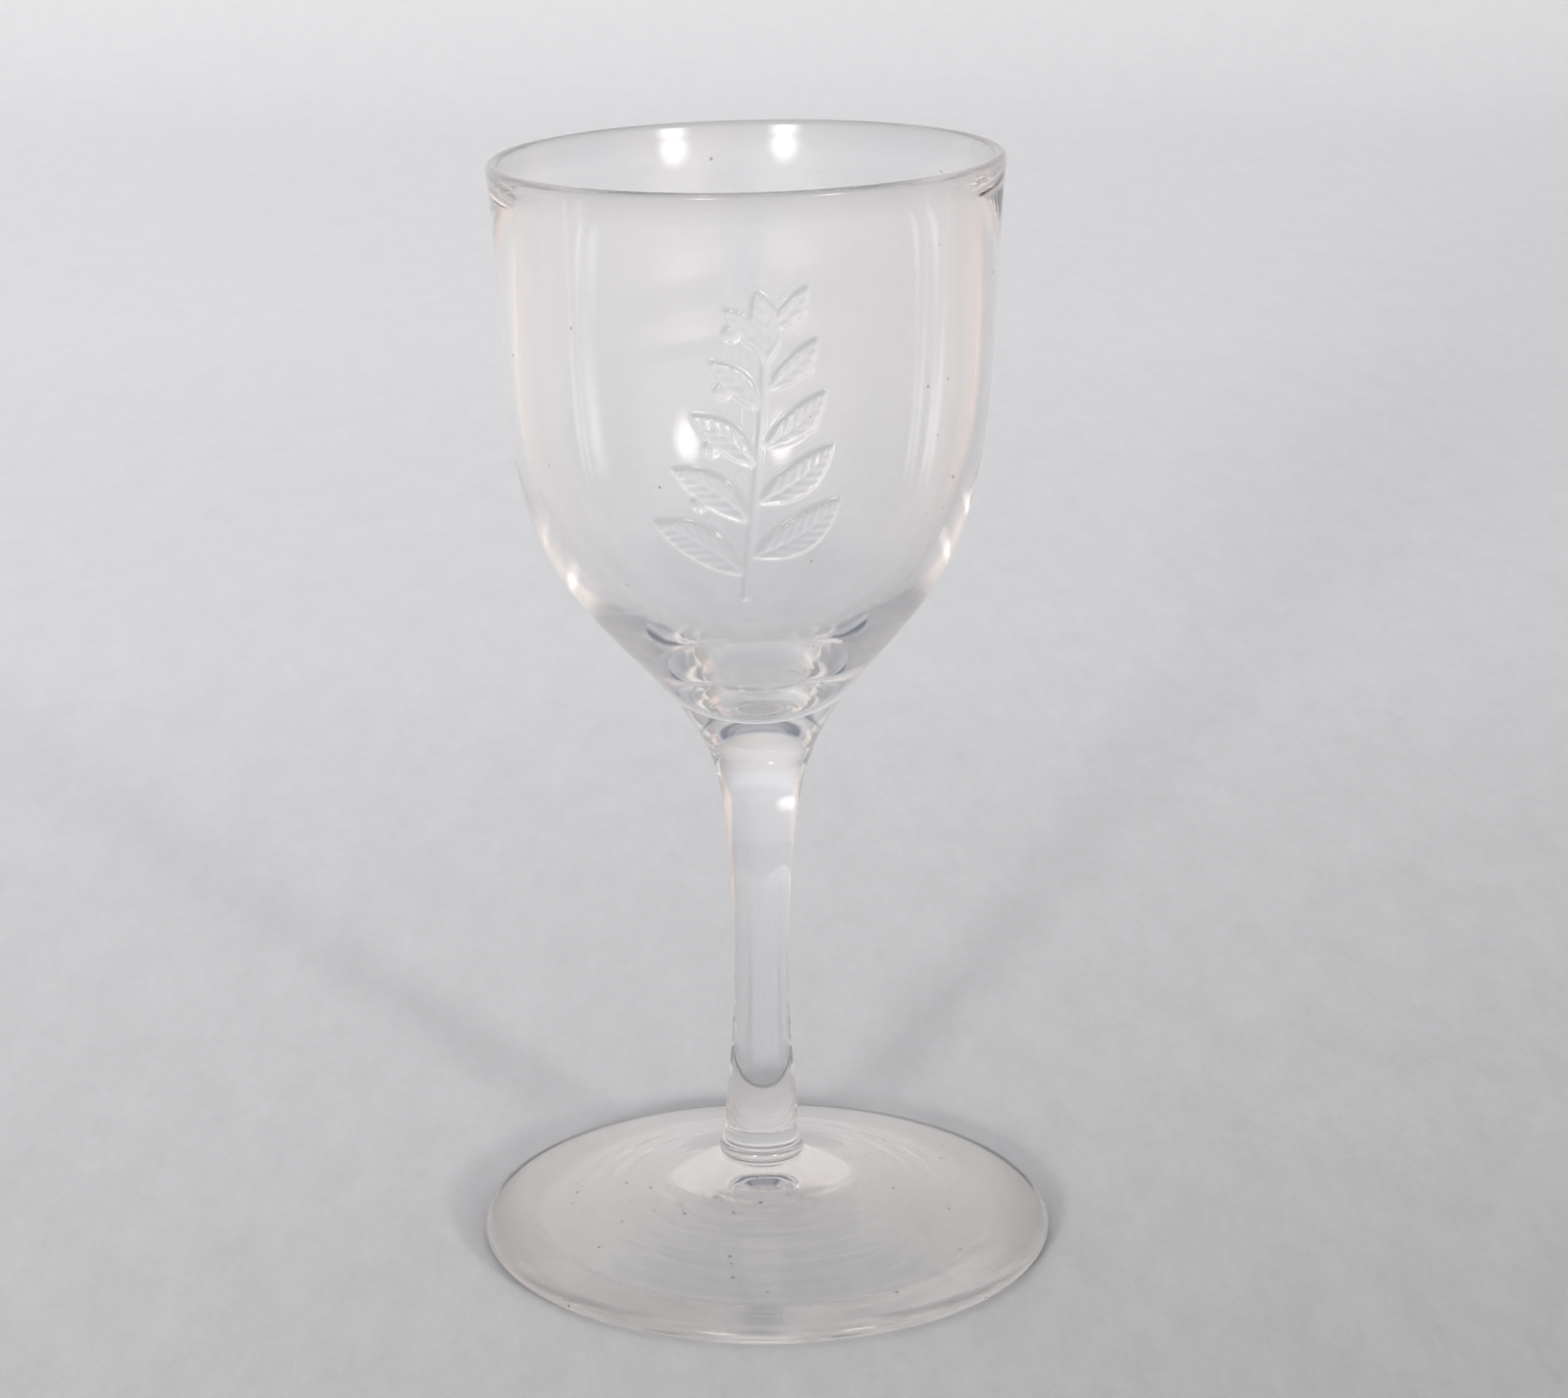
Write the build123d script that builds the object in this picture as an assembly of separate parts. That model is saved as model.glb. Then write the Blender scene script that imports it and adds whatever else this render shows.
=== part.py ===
from build123d import *
import math
import os

# Cordial glass in clear glass: a blown bowl on a drawn stem, a small collar and a disc foot.
# The four gathers are welded hot, face to face, so each one is a solid that ends in a flat weld.
# Millimetres, +Z up, origin on the ground under the centre of the foot, +X to the viewer's right.

# Foot: a low cone with a rounded edge, hollowed underneath so that it stands on a ground ring.
FOOT_RADIUS = 26.6
FOOT_EDGE = 1.9            # thickness of the rounded edge
EDGE_ROUND = 0.95          # how far the edge bulges past its top and bottom corners
FOOT_HEIGHT = 7.6          # ground to the seat under the collar
FOOT_SLOPE = 11.5          # degrees that the cone rises towards the stem
SWEEP_RADIUS = 14.0        # inside this radius the cone sweeps up to the seat
LAND_WIDTH = 4.1           # flat ring that touches the table
HOLLOW_ROUND = 1.0         # rounding where the ring turns into the hollow
HOLLOW_SLOPE = 11.5        # degrees that the hollow underside rises, parallel to the cone above it
PONTIL_RADIUS = 3.6        # polished mark where the pontil rod was broken away
PONTIL_DEPTH = 0.3
SEAT_MARGIN = 0.15         # bare seat left all round the collar

# Collar: a thin bulging ring between foot and stem.
COLLAR_RADIUS = 3.95
COLLAR_BULGE = 0.28        # how far the ring swells past its flat faces
COLLAR_HEIGHT = 1.35

# Stem: drawn thin in the middle, flaring into the bowl. Heights are above the collar.
STEM_LENGTH = 37.35
STEM_BASE_RADIUS = 3.4
STEM_LOWER_RADIUS = 2.81
STEM_LOWER_HEIGHT = 9.5
STEM_WAIST_RADIUS = 2.52
STEM_WAIST_HEIGHT = 19.7
STEM_UPPER_RADIUS = 3.0
STEM_UPPER_HEIGHT = 28.0
STEM_OFFSET = 0.5          # the hand-set stem stands this far to the left of the foot's centre

# Weld between stem and bowl, shared by both.
WELD_RADIUS = 4.42
WELD_FLARE = 18.5          # degrees that both outlines spread at the weld

# Bowl: rounded funnel with a thick solid base. Heights are above the weld, along the bowl's axis.
BOWL_HEIGHT = 55.2
BOWL_LEAN = 1.3            # degrees that the bowl leans to the left
RIM_RADIUS = 22.8
RIM_BEAD = 0.55            # half the thickness of the fire-polished lip
LIP_FLARE = 7.0            # degrees that the lip spreads outwards
INNER_FLARE = 17.0         # degrees that the inside spreads, as the wall thins out to the lip
WALL = 1.6                 # wall of the upper bowl
WALL_RADIUS = 22.36        # outside of the upper bowl, where the lip starts to flare
LIP_DEPTH = 5.7            # how far below the rim that is
BELLY_RADIUS = 20.5        # outside where the wall turns in
BELLY_HEIGHT = 26.7
BELLY_WALL = 1.5
SHOULDER_RADIUS = 18.0     # outside of the round shoulder
SHOULDER_HEIGHT = 19.2
SHOULDER_WALL = 2.0
FUNNEL_RADIUS = 12.56      # outside half way down the funnel
FUNNEL_HEIGHT = 11.7
FUNNEL_WALL = 3.56
BASE_DEPTH = 6.0           # solid glass between the weld and the inside of the bowl

# Places worked out from the sizes above.
SEAT_RADIUS = COLLAR_RADIUS - COLLAR_BULGE
COLLAR_Z = FOOT_HEIGHT
STEM_Z = COLLAR_Z + COLLAR_HEIGHT
WELD_Z = STEM_Z + STEM_LENGTH
STEM_AXIS = Location((-STEM_OFFSET, 0, 0))
WELD = Location((-STEM_OFFSET, 0, WELD_Z), (0, -BOWL_LEAN, 0))
OUTWARD = Vector(1, 0, 0)
UPWARD = Vector(0, 0, 1)


def point(radius, height):
    """A point of a half outline, in the XZ plane."""
    return Vector(radius, 0, height)


def flaring(degrees):
    """The direction of an outline that goes up and spreads outwards by some degrees."""
    return UPWARD * math.cos(math.radians(degrees)) + OUTWARD * math.sin(math.radians(degrees))


def turned(*edges):
    """The solid that a closed half outline sweeps round the Z axis."""
    return revolve(make_face(Wire(edges)), axis=Axis.Z)


def make_foot():
    land_outer = FOOT_RADIUS - EDGE_ROUND
    land_inner = land_outer - LAND_WIDTH
    hollow_corner = land_inner - HOLLOW_ROUND
    hollow_z = (hollow_corner - PONTIL_RADIUS) * math.tan(math.radians(HOLLOW_SLOPE))
    edge_top = point(land_outer, FOOT_EDGE)
    sweep_z = FOOT_EDGE + (land_outer - SWEEP_RADIUS) * math.tan(math.radians(FOOT_SLOPE))
    sweep_start = point(SWEEP_RADIUS, sweep_z)
    cone = (sweep_start - edge_top).normalized()
    seat_edge = point(SEAT_RADIUS + STEM_OFFSET + SEAT_MARGIN, FOOT_HEIGHT)
    seat_middle = point(0, FOOT_HEIGHT)
    pontil_top = point(0, hollow_z + PONTIL_DEPTH)
    pontil_edge = point(PONTIL_RADIUS, hollow_z)
    hollow = (point(hollow_corner, 0) - pontil_edge).normalized()
    hollow_end = point(hollow_corner, 0) - hollow * HOLLOW_ROUND
    land_start = point(land_inner, 0)
    land_end = point(land_outer, 0)
    return turned(
        Line(seat_middle, pontil_top),
        TangentArc(pontil_top, pontil_edge, tangent=OUTWARD),
        Line(pontil_edge, hollow_end),
        TangentArc(hollow_end, land_start, tangent=hollow),
        Line(land_start, land_end),
        Spline(
            land_end,
            point(FOOT_RADIUS, FOOT_EDGE / 2),
            edge_top,
            tangents=(OUTWARD, UPWARD, cone),
        ),
        Line(edge_top, sweep_start),
        TangentArc(sweep_start, seat_edge, tangent=cone),
        Line(seat_edge, seat_middle),
    )


def make_collar():
    ring = turned(
        Line(point(0, 0), point(SEAT_RADIUS, 0)),
        ThreePointArc(
            point(SEAT_RADIUS, 0),
            point(COLLAR_RADIUS, COLLAR_HEIGHT / 2),
            point(SEAT_RADIUS, COLLAR_HEIGHT),
        ),
        Line(point(SEAT_RADIUS, COLLAR_HEIGHT), point(0, COLLAR_HEIGHT)),
        Line(point(0, COLLAR_HEIGHT), point(0, 0)),
    )
    return STEM_AXIS * Pos(0, 0, COLLAR_Z) * ring


def make_stem():
    """The drawn rod, run on past the weld and then trimmed to the plane that the bowl sits on."""
    base = point(STEM_BASE_RADIUS, 0)
    top = point(WELD_RADIUS, STEM_LENGTH)
    spare_top = top + flaring(WELD_FLARE) * WELD_RADIUS * math.tan(math.radians(2 * BOWL_LEAN))
    spare_middle = point(0, spare_top.Z)
    rod = turned(
        Line(point(0, 0), base),
        Spline(
            base,
            point(STEM_LOWER_RADIUS, STEM_LOWER_HEIGHT),
            point(STEM_WAIST_RADIUS, STEM_WAIST_HEIGHT),
            point(STEM_UPPER_RADIUS, STEM_UPPER_HEIGHT),
            top,
            tangents=(UPWARD, flaring(WELD_FLARE)),
        ),
        Line(top, spare_top),
        Line(spare_top, spare_middle),
        Line(spare_middle, point(0, 0)),
    )
    return split(STEM_AXIS * Pos(0, 0, STEM_Z) * rod, bisect_by=Plane(WELD), keep=Keep.BOTTOM)


def make_bowl():
    weld_middle = point(0, 0)
    weld_edge = point(WELD_RADIUS, 0)
    lip_z = BOWL_HEIGHT - RIM_BEAD
    wall_z = BOWL_HEIGHT - LIP_DEPTH
    lip_outside = point(RIM_RADIUS, lip_z)
    lip_inside = point(RIM_RADIUS - 2 * RIM_BEAD, lip_z)
    floor = point(0, BASE_DEPTH)
    return WELD * turned(
        Line(weld_middle, weld_edge),
        Spline(
            weld_edge,
            point(FUNNEL_RADIUS, FUNNEL_HEIGHT),
            point(SHOULDER_RADIUS, SHOULDER_HEIGHT),
            point(BELLY_RADIUS, BELLY_HEIGHT),
            point(WALL_RADIUS, wall_z),
            lip_outside,
            tangents=(flaring(WELD_FLARE), flaring(LIP_FLARE)),
        ),
        ThreePointArc(lip_outside, point(RIM_RADIUS - RIM_BEAD, BOWL_HEIGHT), lip_inside),
        Spline(
            lip_inside,
            point(WALL_RADIUS - WALL, wall_z),
            point(BELLY_RADIUS - BELLY_WALL, BELLY_HEIGHT),
            point(SHOULDER_RADIUS - SHOULDER_WALL, SHOULDER_HEIGHT),
            point(FUNNEL_RADIUS - FUNNEL_WALL, FUNNEL_HEIGHT),
            floor,
            tangents=(-flaring(INNER_FLARE), -OUTWARD),
        ),
        Line(floor, weld_middle),
    )


os.makedirs("parts", exist_ok=True)
PIECES = {
    "foot": make_foot(),
    "foot_collar": make_collar(),
    "stem": make_stem(),
    "bowl": make_bowl(),
}
for name, piece in PIECES.items():
    export_step(piece, f"parts/{name}.step")
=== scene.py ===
# %% [markdown]
# # A cordial glass, blown from four gathers
# A cordial glass is a small stemmed glass for liqueur. A glassmaker blows the bowl, draws the
# stem out of a hot rod, and welds a ring and a disc foot under it. This lesson dresses the CAD
# model of such a glass: fine turned meshes, a raised sprig on the bowl, clear glass and soft light.
# The CAD model is loaded first and stays as it is, because every piece has to sit where it says.

# %% Load the frame
import math

import bpy
import numpy as np
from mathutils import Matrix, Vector


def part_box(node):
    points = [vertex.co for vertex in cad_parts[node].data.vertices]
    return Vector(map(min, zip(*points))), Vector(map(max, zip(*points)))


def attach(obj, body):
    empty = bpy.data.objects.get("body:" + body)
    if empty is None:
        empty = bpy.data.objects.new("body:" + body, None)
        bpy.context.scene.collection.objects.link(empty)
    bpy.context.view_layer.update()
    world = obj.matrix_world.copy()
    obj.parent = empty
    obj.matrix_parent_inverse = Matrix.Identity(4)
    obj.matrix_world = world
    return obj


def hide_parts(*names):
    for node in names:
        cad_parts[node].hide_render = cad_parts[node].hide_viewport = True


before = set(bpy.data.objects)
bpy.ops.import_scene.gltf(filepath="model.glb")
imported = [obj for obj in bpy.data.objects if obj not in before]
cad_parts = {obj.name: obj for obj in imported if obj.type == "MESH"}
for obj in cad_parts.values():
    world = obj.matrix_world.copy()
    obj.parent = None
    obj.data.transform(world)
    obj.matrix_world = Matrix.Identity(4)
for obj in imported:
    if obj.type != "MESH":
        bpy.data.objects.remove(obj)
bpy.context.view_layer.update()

MM = 0.001
print("CAD pieces:", sorted(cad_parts))

# %% [markdown]
# ## The camera
# The picture is taken a hand's length above the table, looking down by about 16 degrees. A camera
# could be set by eye, but the rim and the foot are true circles, so their two ellipses give the
# height, the tilt and the lens. The numbers below come from such a fit. Sharp everywhere, no shift.

# %% Camera
CAMERA_PLACE = (-0.0005, -0.3331, 0.1487)
CAMERA_TILT = 16.21
CAMERA_TURN = -0.36
IMAGE_WIDTH = 1600
LENS_IN_PIXELS = 3890

lens = bpy.data.cameras.new("table_camera")
lens.sensor_fit = "HORIZONTAL"
lens.sensor_width = 36.0
lens.lens = lens.sensor_width * LENS_IN_PIXELS / IMAGE_WIDTH
lens.clip_start = 0.01
camera = bpy.data.objects.new("table_camera", lens)
camera.location = CAMERA_PLACE
camera.rotation_euler = (math.radians(90 - CAMERA_TILT), 0, math.radians(CAMERA_TURN))
bpy.context.scene.collection.objects.link(camera)
bpy.context.scene.camera = camera
print(f"camera with a {lens.lens:.1f} mm lens")

# %% [markdown]
# ## Half outlines
# Blown glass is turned all the time, so each piece is a half outline swept round an axis. Blender's
# Screw modifier would do that from a curve. Here the outlines are rows of points in numpy instead,
# because the same points later get a raised sprig and small tooling waves, and because glass
# shows every kink: a curve whose bend changes smoothly gives clean reflections.

# %% Outline helpers
def climbing(degrees):
    """The direction of an outline that goes up and spreads outwards by some degrees."""
    return np.array([math.sin(math.radians(degrees)), math.cos(math.radians(degrees))])


def smooth_curve(points, start, end, steps=40):
    """A curve through the points, with given directions at its ends and no jump in its bend."""
    points = np.array(points, float)
    last = len(points) - 1
    gaps = np.linalg.norm(np.diff(points, axis=0), axis=1)
    rows = np.eye(last + 1)
    wanted = np.zeros((last + 1, 2))
    wanted[0] = np.array(start) / np.linalg.norm(start)
    wanted[last] = np.array(end) / np.linalg.norm(end)
    for i in range(1, last):
        before, after = gaps[i - 1], gaps[i]
        rows[i, i - 1 : i + 2] = after, 2 * (before + after), before
        wanted[i] = 3 * after / before * (points[i] - points[i - 1])
        wanted[i] += 3 * before / after * (points[i + 1] - points[i])
    slopes = np.linalg.solve(rows, wanted)
    t = np.linspace(0, 1, steps, endpoint=False)[:, None]
    runs = []
    for i in range(last):
        run = (2 * t**3 - 3 * t**2 + 1) * points[i] + (3 * t**2 - 2 * t**3) * points[i + 1]
        run += gaps[i] * ((t**3 - 2 * t**2 + t) * slopes[i] + (t**3 - t**2) * slopes[i + 1])
        runs.append(run)
    return np.concatenate(runs + [points[-1:]])


def evened(line, spacing):
    """The same line with its points about one spacing apart."""
    along = np.concatenate([[0], np.cumsum(np.linalg.norm(np.diff(line, axis=0), axis=1))])
    count = max(2, round(along[-1] / spacing) + 1)
    places = np.linspace(0, along[-1], count)
    return np.stack([np.interp(places, along, line[:, 0]), np.interp(places, along, line[:, 1])], 1)


def joined(*lines):
    """Several runs of an outline as one, without their shared end points twice."""
    return np.concatenate([line[:-1] for line in lines[:-1]] + [lines[-1]])


print("outlines are rows of radius and height, in millimetres")

# %% [markdown]
# ## From an outline to a solid skin
# Sweeping an outline gives one ring of points for each outline point. Faces join each ring to the
# next, and a fan of triangles closes both ends on the axis. The pieces touch on flat welds. On the
# real glass there is no surface left there, so these faces get a second, fully clear material, and
# the edges round them are marked sharp, which keeps the shading of the walls out of them.

# %% Turning helpers
def rings_of(outline, angles):
    """Every outline point turned to every angle, as rings of points."""
    radius = outline[:, :1]
    height = np.repeat(outline[:, 1:], len(angles), axis=1)
    return np.stack([radius * np.cos(angles), radius * np.sin(angles), height], axis=2)


def skin(name, rings, welds=()):
    """A closed mesh over the rings. The first and last ring are points on the axis.
    welds are the numbers of the runs between two rings that are clear weld faces."""
    around = rings.shape[1]
    body = rings[1:-1].reshape(-1, 3)
    vertices = np.concatenate([body, rings[:1, 0], rings[-1:, 0]])
    here = np.arange(around)
    there = np.roll(here, -1)
    faces = [(len(body), b, a) for a, b in zip(here.tolist(), there.tolist())]
    runs = [0] * around
    last = len(rings) - 3
    for row in range(last):
        step = row * around
        quads = np.stack([here, there, there + around, here + around], 1) + step
        faces += quads.tolist()
        runs += [row + 1] * around
    top = last * around
    faces += [(a + top, b + top, len(body) + 1) for a, b in zip(here.tolist(), there.tolist())]
    runs += [last + 1] * around
    mesh = bpy.data.meshes.new(name)
    mesh.from_pydata((vertices * MM).tolist(), [], faces)
    is_weld = np.isin(runs, list(welds))
    mesh.polygons.foreach_set("material_index", is_weld.astype(np.int32))
    mesh.shade_smooth()
    seam = set()
    for run in welds:
        seam |= {run - 1, run}
    edges = np.zeros(len(mesh.edges) * 2, np.int32)
    mesh.edges.foreach_get("vertices", edges)
    ring_number = np.minimum(edges.reshape(-1, 2) // around, last + 5)
    on_ring = (ring_number[:, 0] == ring_number[:, 1]) & np.isin(ring_number[:, 0], list(seam))
    mesh.edges.foreach_set("use_edge_sharp", on_ring)
    mesh.update()
    piece = bpy.data.objects.new(name, mesh)
    bpy.context.scene.collection.objects.link(piece)
    print(f"{name}: {len(vertices)} points, {len(faces)} faces, {int(is_weld.sum())} of them weld")
    return piece


def mark_points(piece, name, shares, around, ends=(0, 0)):
    """Store a value from 0 to 1 on every mesh point: a row for each ring, and two end points."""
    rows = np.broadcast_to(shares, (len(shares), around))[1:-1]
    mask = piece.data.attributes.new(name, "FLOAT", "POINT")
    mask.data.foreach_set("value", np.append(rows, ends))
    print(f"{piece.name}: {np.count_nonzero(rows)} points marked {name}")


EVEN_TURN = np.linspace(0, 2 * math.pi, 240, endpoint=False)

# %% [markdown]
# ## The foot
# The foot is a low cone of about even thickness. Its underside is hollowed and stands on a flat
# ring near the edge, with a shallow polished mark in the middle where the pontil rod was broken
# away. A lathe shape from a few straight lines would look dead, because the edge of a real foot is
# rounded by the fire and its top has faint rings from the wooden tool that spread it. Both are real
# shape here: light that bounces inside the foot makes the bright band along its front edge.

# %% Foot sizes
FOOT_RADIUS = 26.6
FOOT_EDGE = 1.9
EDGE_ROUND = 0.95
FOOT_HEIGHT = 7.6
FOOT_SLOPE = 11.5
SWEEP_RADIUS = 14.0
LAND_WIDTH = 4.1
HOLLOW_ROUND = 1.0
HOLLOW_SLOPE = 11.5
PONTIL_RADIUS = 3.6
PONTIL_DEPTH = 0.3
COLLAR_RADIUS = 3.95
COLLAR_BULGE = 0.28
SEAT_RADIUS = COLLAR_RADIUS - COLLAR_BULGE
STEM_OFFSET = 0.5
print(f"foot {2 * FOOT_RADIUS} mm across and {FOOT_HEIGHT} mm high")

# %% Foot outline
land_outer = FOOT_RADIUS - EDGE_ROUND
land_inner = land_outer - LAND_WIDTH
hollow_corner = land_inner - HOLLOW_ROUND
hollow_rise = math.tan(math.radians(HOLLOW_SLOPE))
hollow_z = (hollow_corner - PONTIL_RADIUS) * hollow_rise
down_out = climbing(90 + HOLLOW_SLOPE)
hollow_end = np.array([hollow_corner, 0]) - HOLLOW_ROUND * down_out
sweep_z = FOOT_EDGE + (land_outer - SWEEP_RADIUS) * math.tan(math.radians(FOOT_SLOPE))
up_in = np.array([SWEEP_RADIUS - land_outer, sweep_z - FOOT_EDGE])
SEAT_MARGIN = 0.4
seat_edge = SEAT_RADIUS + SEAT_MARGIN
seat_tangent = (-0.895, 0.446)

underside = joined(
    smooth_curve([(0, hollow_z + PONTIL_DEPTH), (PONTIL_RADIUS, hollow_z)], (1, 0), (1, -0.17), 16),
    np.linspace((PONTIL_RADIUS, hollow_z), hollow_end, 34),
    smooth_curve([hollow_end, (land_inner, 0)], down_out, (1, 0), 10),
    np.linspace((land_inner, 0), (land_outer, 0), 9),
)
edge = joined(
    smooth_curve([(land_outer, 0), (FOOT_RADIUS, FOOT_EDGE / 2)], (1, 0), (0, 1), 16),
    smooth_curve([(FOOT_RADIUS, FOOT_EDGE / 2), (land_outer, FOOT_EDGE)], (0, 1), up_in, 16),
)
cone = np.linspace((land_outer, FOOT_EDGE), (SWEEP_RADIUS, sweep_z), 64)
sweep_ends = [(SWEEP_RADIUS, sweep_z), (seat_edge, FOOT_HEIGHT)]
sweep = smooth_curve(sweep_ends, up_in, seat_tangent, 34)
seat = np.array([(seat_edge, FOOT_HEIGHT), (SEAT_RADIUS, FOOT_HEIGHT), (0, FOOT_HEIGHT)])
foot_outline = joined(underside, edge, cone, sweep, seat)
print(f"foot outline of {len(foot_outline)} points, hollow {hollow_z:.2f} mm deep")

# %% Tooling rings on the foot
TOOL_STEP, TOOL_DEPTH = 2.3, 0.009
FINE_STEP, FINE_DEPTH = 1.15, 0.005
TOOLED_FROM, TOOLED_TO = 4.6, 21.0
FADE_IN, FADE_OUT = 2.0, 5.0
ROUND_POINTS = 20
foot_rings = rings_of(foot_outline, EVEN_TURN)
radius = foot_outline[:, :1]
top_side = (np.arange(len(foot_outline)) >= len(underside) + ROUND_POINTS)[:, None]
fading = np.clip((radius - TOOLED_FROM) / FADE_IN, 0, 1) * top_side
fading *= np.clip((TOOLED_TO - radius) / FADE_OUT, 0, 1)
wander = 0.35 * np.sin(EVEN_TURN + 0.6) + 0.2 * np.sin(3 * EVEN_TURN + 2.0)
waves = TOOL_DEPTH * np.sin(2 * math.pi * (radius + wander) / TOOL_STEP)
waves += FINE_DEPTH * np.sin(2 * math.pi * (radius - wander) / FINE_STEP + 1.0)
strength = 1.5 - 0.9 * np.sin(EVEN_TURN + 0.3) + 0.25 * np.sin(2 * EVEN_TURN + 0.9)
foot_rings[:, :, 2] += waves * fading * strength
print(f"tooling rings {TOOL_STEP} mm apart, strongest at the front")

# %% The foot's mesh, swept up to the stem
WELD_HAIR = 0.002
inward = np.clip((SWEEP_RADIUS - radius) / (SWEEP_RADIUS - seat_edge), 0, 1) * top_side
foot_rings[:, :, 0] -= STEM_OFFSET * inward**2 * (3 - 2 * inward)
foot_rings[-2:, :, 2] -= WELD_HAIR
foot = skin("foot_disc", foot_rings, welds=[len(foot_outline) - 2])

# %% Worn and shading places on the foot
PONTIL_WEAR = 0.4
WEAR_SPREAD, WEAR_FADE = 11.0, 6.0
LAND_FADE = 0.05
FOOTING_FADE = 0.5
height = foot_outline[:, 1:]
land_wear = np.clip(1 - height / LAND_FADE, 0, 1)
pontil_wear = PONTIL_WEAR * np.clip((WEAR_SPREAD - radius) / WEAR_FADE, 0, 1) * ~top_side
wear = np.maximum(land_wear, pontil_wear)
mark_points(foot, "ground", wear, len(EVEN_TURN), ends=(PONTIL_WEAR, 0))
behind = np.clip(0.2 + 0.8 * (1 + np.sin(EVEN_TURN)), 0, 1)
low_edge = np.clip((FOOT_EDGE - height) / FOOTING_FADE, 0, 1) * (radius > land_outer)
mark_points(foot, "footing", low_edge * behind, len(EVEN_TURN))

# %% [markdown]
# ## The collar and the stem
# A thin ring of glass joins the foot to the stem. The stem is a rod that was drawn while hot, so it
# is thinnest in the middle and flares into the bowl. It could be a curve with a round bevel, but
# a turned outline keeps the CAD sizes exactly. The stem stands half a millimetre to the left of the
# foot's centre, and its top is cut to the slant of the bowl, which leans a little to the left.

# %% Collar
COLLAR_HEIGHT = 1.35
STEM_BASE_RADIUS = 3.4
collar_z = FOOT_HEIGHT
swell = np.linspace(-1, 1, 25)
bulge = np.stack([SEAT_RADIUS + COLLAR_BULGE * (1 - swell**2), (1 + swell) * COLLAR_HEIGHT / 2], 1)
collar_outline = joined(
    np.array([(0, 0), (SEAT_RADIUS, 0)]),
    bulge,
    np.array([(SEAT_RADIUS, COLLAR_HEIGHT), (STEM_BASE_RADIUS, COLLAR_HEIGHT), (0, COLLAR_HEIGHT)]),
)
collar_rings = rings_of(collar_outline, EVEN_TURN) + (-STEM_OFFSET, 0, collar_z)
collar_rings[:2, :, 2] += WELD_HAIR
collar_rings[-2:, :, 2] -= WELD_HAIR
collar = skin("stem_collar", collar_rings, welds=[0, len(collar_outline) - 2])

# %% Stem
STEM_LENGTH = 37.35
WELD_RADIUS = 4.42
WELD_FLARE = 18.5
BOWL_LEAN = 1.3
stem_z = collar_z + COLLAR_HEIGHT
weld_z = stem_z + STEM_LENGTH
STEM_LOWER, STEM_WAIST, STEM_UPPER = (2.81, 9.5), (2.52, 19.7), (3.0, 28.0)
stem_base, stem_top = (STEM_BASE_RADIUS, 0), (WELD_RADIUS, STEM_LENGTH)
stem_points = [stem_base, STEM_LOWER, STEM_WAIST, STEM_UPPER, stem_top]
stem_side = evened(smooth_curve(stem_points, (0, 1), climbing(WELD_FLARE)), 0.22)
stem_outline = joined(
    np.array([(0, 0), stem_base]),
    stem_side,
    np.array([stem_top, (0, STEM_LENGTH)]),
)
stem_rings = rings_of(stem_outline, EVEN_TURN)
slant = (np.clip(stem_outline[:, 1] / STEM_LENGTH, 0, 1) ** 6)[:, None]
stem_rings[:, :, 2] += slant * stem_rings[:, :, 0] * math.tan(math.radians(BOWL_LEAN))
stem_rings += (-STEM_OFFSET, 0, stem_z)
stem_rings[:2, :, 2] += WELD_HAIR
stem_rings[-2:, :, 2] -= WELD_HAIR
stem = skin("drawn_stem", stem_rings, welds=[0, len(stem_outline) - 2])

# %% [markdown]
# ## The bowl
# The bowl is a rounded funnel with a thick solid base, a thin wall and a fire-polished lip. Its
# outside and inside are two separate curves, because the wall grows from one millimetre at the lip
# and one and a half below it to six at the base, and that thick base is the lens that makes most of
# the glass's character. A Solidify modifier gives an even wall only, so both curves are written out.

# %% Bowl outlines
BOWL_HEIGHT = 55.2
RIM_RADIUS = 22.8
RIM_BEAD = 0.55
LIP_FLARE = 7.0
INNER_FLARE = 17.0
BASE_DEPTH = 6.0
# Outside radius, height above the weld and wall of the funnel, shoulder, belly and upper bowl.
WALLS = [(12.56, 11.7, 3.56), (18.0, 19.2, 2.0), (20.5, 26.7, 1.5), (22.36, 49.5, 1.6)]
lip_z = BOWL_HEIGHT - RIM_BEAD
outside_points = [(reach, rise) for reach, rise, wall in WALLS]
inside_points = [(reach - wall, rise) for reach, rise, wall in reversed(WALLS)]
outside = smooth_curve(
    [(WELD_RADIUS, 0), *outside_points, (RIM_RADIUS, lip_z)],
    climbing(WELD_FLARE), climbing(LIP_FLARE),
)
inside = smooth_curve(
    [(RIM_RADIUS - 2 * RIM_BEAD, lip_z), *inside_points, (0, BASE_DEPTH)],
    -climbing(INNER_FLARE), (-1, 0),
)
half_turn = np.linspace(0, math.pi, 15)
lip_middle = np.array([RIM_RADIUS - RIM_BEAD, lip_z])
lip = lip_middle + RIM_BEAD * np.stack([np.cos(half_turn), np.sin(half_turn)], 1)
print(f"bowl {2 * RIM_RADIUS} mm across the rim, solid base {BASE_DEPTH} mm")

# %% [markdown]
# ## The raised sprig
# The front of the bowl carries a moulded ornament under half a millimetre high, as clear as the
# glass itself. Here it is an upright sprig of leaves with berries, a common motif on pressed and
# blown tableware. It could be a bump map, but a bump can't bend the light behind it properly, so
# the points of the bowl are lifted. Each leaf is the overlap of two circles, and its height follows
# the distance to its edge, with a groove along the midrib.

# %% Sprig shapes
SPRIG_HEIGHT = 0.38
SPRIG_FOOT = 19.6
SPRIG_TOP = 47.4


def stalk_side(v):
    """Sideways place of the stalk at a height on the bowl, in millimetres."""
    t = (v - SPRIG_FOOT) / (SPRIG_TOP - SPRIG_FOOT)
    return 1.3 * np.sin(2.6 * t - 0.6) + 0.2


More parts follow.
